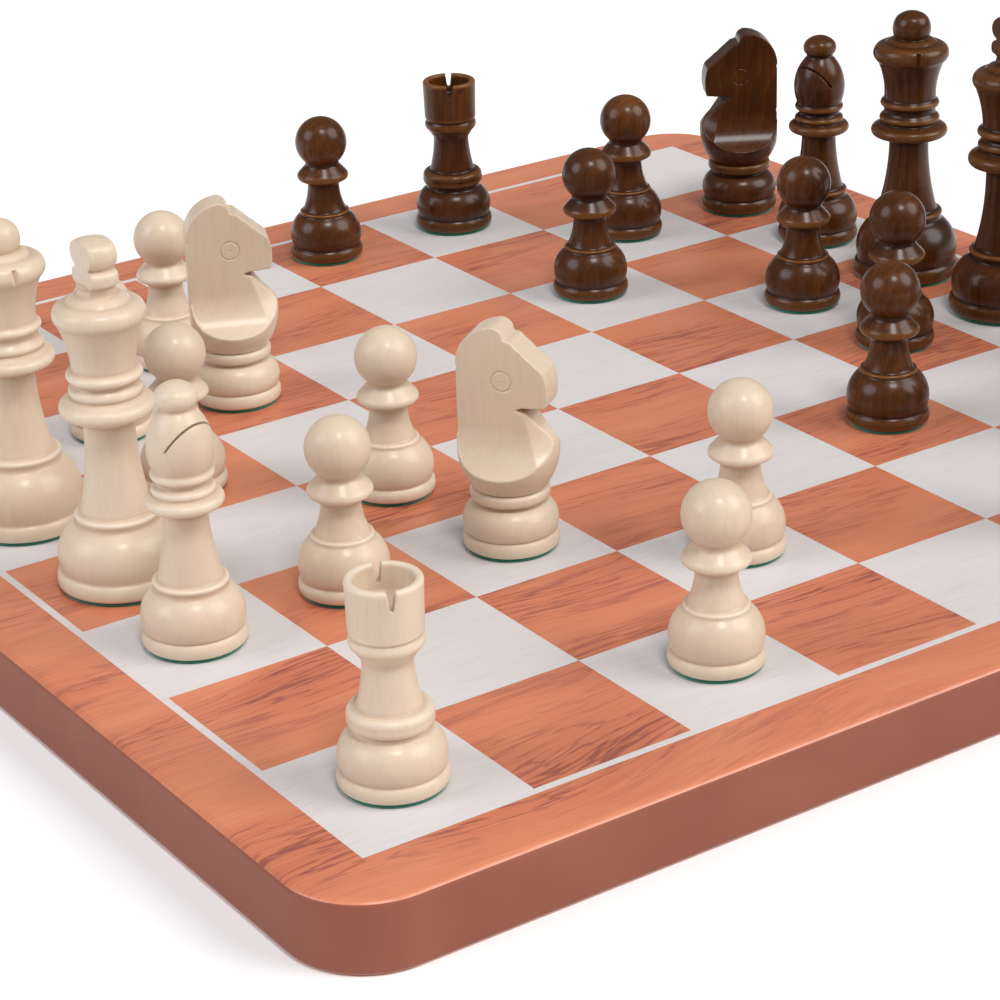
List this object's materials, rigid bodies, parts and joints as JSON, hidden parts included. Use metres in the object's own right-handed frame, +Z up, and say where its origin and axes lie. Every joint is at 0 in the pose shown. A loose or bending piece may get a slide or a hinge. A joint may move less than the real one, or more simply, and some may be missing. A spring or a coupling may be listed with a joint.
{
  "type": "chess set with board",
  "caption": "Wooden chess set: flat veneered board with rounded corners and light printed squares, and turned light and dark men with green felt bases.",
  "frame": {"origin": "centre of the board's underside", "axes": "+X from the a-file to the h-file, +Y from rank 1 (light side) to rank 8, +Z up"},
  "size_m": [0.38, 0.38, 0.1074],
  "materials": {
    "edge_painted_mdf": "satin reddish-brown painted edge",
    "red_brown_veneer": "satin lacquer",
    "light_print": "satin screen print",
    "light_maple": "semi-gloss lacquer",
    "dark_stained_wood": "semi-gloss lacquer over walnut stain",
    "green_felt": "matt"
  },
  "bodies": {
    "board": {"board_core": "edge_painted_mdf", "bottom_veneer": "red_brown_veneer", "top_veneer": "red_brown_veneer", "light_squares": "light_print", "border_line": "light_print"},
    "dark_bishop_c8": {"dark_bishop_c8": "dark_stained_wood", "dark_bishop_c8_felt": "green_felt"},
    "dark_bishop_f8": {"dark_bishop_f8": "dark_stained_wood", "dark_bishop_f8_felt": "green_felt"},
    "dark_king_e8": {"dark_king_e8": "dark_stained_wood", "dark_king_e8_felt": "green_felt"},
    "dark_knight_b8": {"dark_knight_b8_base": "dark_stained_wood", "dark_knight_b8_felt": "green_felt", "dark_knight_b8_head": "dark_stained_wood"},
    "dark_knight_g8": {"dark_knight_g8_base": "dark_stained_wood", "dark_knight_g8_felt": "green_felt", "dark_knight_g8_head": "dark_stained_wood"},
    "dark_pawn_a5": {"dark_pawn_a5": "dark_stained_wood"},
    "dark_pawn_b7": {"dark_pawn_b7": "dark_stained_wood"},
    "dark_pawn_c6": {"dark_pawn_c6": "dark_stained_wood"},
    "dark_pawn_d7": {"dark_pawn_d7": "dark_stained_wood"},
    "dark_pawn_e7": {"dark_pawn_e7": "dark_stained_wood"},
    "dark_pawn_f6": {"dark_pawn_f6": "dark_stained_wood"},
    "dark_pawn_g7": {"dark_pawn_g7": "dark_stained_wood"},
    "dark_pawn_h6": {"dark_pawn_h6": "dark_stained_wood"},
    "dark_queen_d8": {"dark_queen_d8": "dark_stained_wood", "dark_queen_d8_felt": "green_felt"},
    "dark_rook_a6": {"dark_rook_a6": "dark_stained_wood", "dark_rook_a6_felt": "green_felt"},
    "dark_rook_h8": {"dark_rook_h8": "dark_stained_wood", "dark_rook_h8_felt": "green_felt"},
    "light_bishop_c1": {"light_bishop_c1": "light_maple", "light_bishop_c1_felt": "green_felt"},
    "light_bishop_f1": {"light_bishop_f1": "light_maple", "light_bishop_f1_felt": "green_felt"},
    "light_king_e1": {"light_king_e1": "light_maple", "light_king_e1_felt": "green_felt"},
    "light_knight_c3": {"light_knight_c3_base": "light_maple", "light_knight_c3_felt": "green_felt", "light_knight_c3_head": "light_maple"},
    "light_knight_f3": {"light_knight_f3_base": "light_maple", "light_knight_f3_felt": "green_felt", "light_knight_f3_head": "light_maple"},
    "light_pawn_a2": {"light_pawn_a2": "light_maple"},
    "light_pawn_b3": {"light_pawn_b3": "light_maple"},
    "light_pawn_c2": {"light_pawn_c2": "light_maple"},
    "light_pawn_d2": {"light_pawn_d2": "light_maple"},
    "light_pawn_e3": {"light_pawn_e3": "light_maple"},
    "light_pawn_f2": {"light_pawn_f2": "light_maple"},
    "light_pawn_g4": {"light_pawn_g4": "light_maple"},
    "light_pawn_h3": {"light_pawn_h3": "light_maple"},
    "light_queen_d1": {"light_queen_d1": "light_maple", "light_queen_d1_felt": "green_felt"},
    "light_rook_a1": {"light_rook_a1": "light_maple", "light_rook_a1_felt": "green_felt"},
    "light_rook_h1": {"light_rook_h1": "light_maple", "light_rook_h1_felt": "green_felt"}
  },
  "joints": [
    {"name": "dark_bishop_c8_lift", "type": "slide", "parent": "board", "child": "dark_bishop_c8", "axis": [0, 0, 1], "range_m": [0, 0.1]},
    {"name": "dark_bishop_f8_lift", "type": "slide", "parent": "board", "child": "dark_bishop_f8", "axis": [0, 0, 1], "range_m": [0, 0.1]},
    {"name": "dark_king_e8_lift", "type": "slide", "parent": "board", "child": "dark_king_e8", "axis": [0, 0, 1], "range_m": [0, 0.1]},
    {"name": "dark_knight_b8_lift", "type": "slide", "parent": "board", "child": "dark_knight_b8", "axis": [0, 0, 1], "range_m": [0, 0.1]},
    {"name": "dark_knight_g8_lift", "type": "slide", "parent": "board", "child": "dark_knight_g8", "axis": [0, 0, 1], "range_m": [0, 0.1]},
    {"name": "dark_pawn_a5_lift", "type": "slide", "parent": "board", "child": "dark_pawn_a5", "axis": [0, 0, 1], "range_m": [0, 0.1]},
    {"name": "dark_pawn_b7_lift", "type": "slide", "parent": "board", "child": "dark_pawn_b7", "axis": [0, 0, 1], "range_m": [0, 0.1]},
    {"name": "dark_pawn_c6_lift", "type": "slide", "parent": "board", "child": "dark_pawn_c6", "axis": [0, 0, 1], "range_m": [0, 0.1]},
    {"name": "dark_pawn_d7_lift", "type": "slide", "parent": "board", "child": "dark_pawn_d7", "axis": [0, 0, 1], "range_m": [0, 0.1]},
    {"name": "dark_pawn_e7_lift", "type": "slide", "parent": "board", "child": "dark_pawn_e7", "axis": [0, 0, 1], "range_m": [0, 0.1]},
    {"name": "dark_pawn_f6_lift", "type": "slide", "parent": "board", "child": "dark_pawn_f6", "axis": [0, 0, 1], "range_m": [0, 0.1]},
    {"name": "dark_pawn_g7_lift", "type": "slide", "parent": "board", "child": "dark_pawn_g7", "axis": [0, 0, 1], "range_m": [0, 0.1]},
    {"name": "dark_pawn_h6_lift", "type": "slide", "parent": "board", "child": "dark_pawn_h6", "axis": [0, 0, 1], "range_m": [0, 0.1]},
    {"name": "dark_queen_d8_lift", "type": "slide", "parent": "board", "child": "dark_queen_d8", "axis": [0, 0, 1], "range_m": [0, 0.1]},
    {"name": "dark_rook_a6_lift", "type": "slide", "parent": "board", "child": "dark_rook_a6", "axis": [0, 0, 1], "range_m": [0, 0.1]},
    {"name": "dark_rook_h8_lift", "type": "slide", "parent": "board", "child": "dark_rook_h8", "axis": [0, 0, 1], "range_m": [0, 0.1]},
    {"name": "light_bishop_c1_lift", "type": "slide", "parent": "board", "child": "light_bishop_c1", "axis": [0, 0, 1], "range_m": [0, 0.1]},
    {"name": "light_bishop_f1_lift", "type": "slide", "parent": "board", "child": "light_bishop_f1", "axis": [0, 0, 1], "range_m": [0, 0.1]},
    {"name": "light_king_e1_lift", "type": "slide", "parent": "board", "child": "light_king_e1", "axis": [0, 0, 1], "range_m": [0, 0.1]},
    {"name": "light_knight_c3_lift", "type": "slide", "parent": "board", "child": "light_knight_c3", "axis": [0, 0, 1], "range_m": [0, 0.1]},
    {"name": "light_knight_f3_lift", "type": "slide", "parent": "board", "child": "light_knight_f3", "axis": [0, 0, 1], "range_m": [0, 0.1]},
    {"name": "light_pawn_a2_lift", "type": "slide", "parent": "board", "child": "light_pawn_a2", "axis": [0, 0, 1], "range_m": [0, 0.1]},
    {"name": "light_pawn_b3_lift", "type": "slide", "parent": "board", "child": "light_pawn_b3", "axis": [0, 0, 1], "range_m": [0, 0.1]},
    {"name": "light_pawn_c2_lift", "type": "slide", "parent": "board", "child": "light_pawn_c2", "axis": [0, 0, 1], "range_m": [0, 0.1]},
    {"name": "light_pawn_d2_lift", "type": "slide", "parent": "board", "child": "light_pawn_d2", "axis": [0, 0, 1], "range_m": [0, 0.1]},
    {"name": "light_pawn_e3_lift", "type": "slide", "parent": "board", "child": "light_pawn_e3", "axis": [0, 0, 1], "range_m": [0, 0.1]},
    {"name": "light_pawn_f2_lift", "type": "slide", "parent": "board", "child": "light_pawn_f2", "axis": [0, 0, 1], "range_m": [0, 0.1]},
    {"name": "light_pawn_g4_lift", "type": "slide", "parent": "board", "child": "light_pawn_g4", "axis": [0, 0, 1], "range_m": [0, 0.1]},
    {"name": "light_pawn_h3_lift", "type": "slide", "parent": "board", "child": "light_pawn_h3", "axis": [0, 0, 1], "range_m": [0, 0.1]},
    {"name": "light_queen_d1_lift", "type": "slide", "parent": "board", "child": "light_queen_d1", "axis": [0, 0, 1], "range_m": [0, 0.1]},
    {"name": "light_rook_a1_lift", "type": "slide", "parent": "board", "child": "light_rook_a1", "axis": [0, 0, 1], "range_m": [0, 0.1]},
    {"name": "light_rook_h1_lift", "type": "slide", "parent": "board", "child": "light_rook_h1", "axis": [0, 0, 1], "range_m": [0, 0.1]}
  ]
}
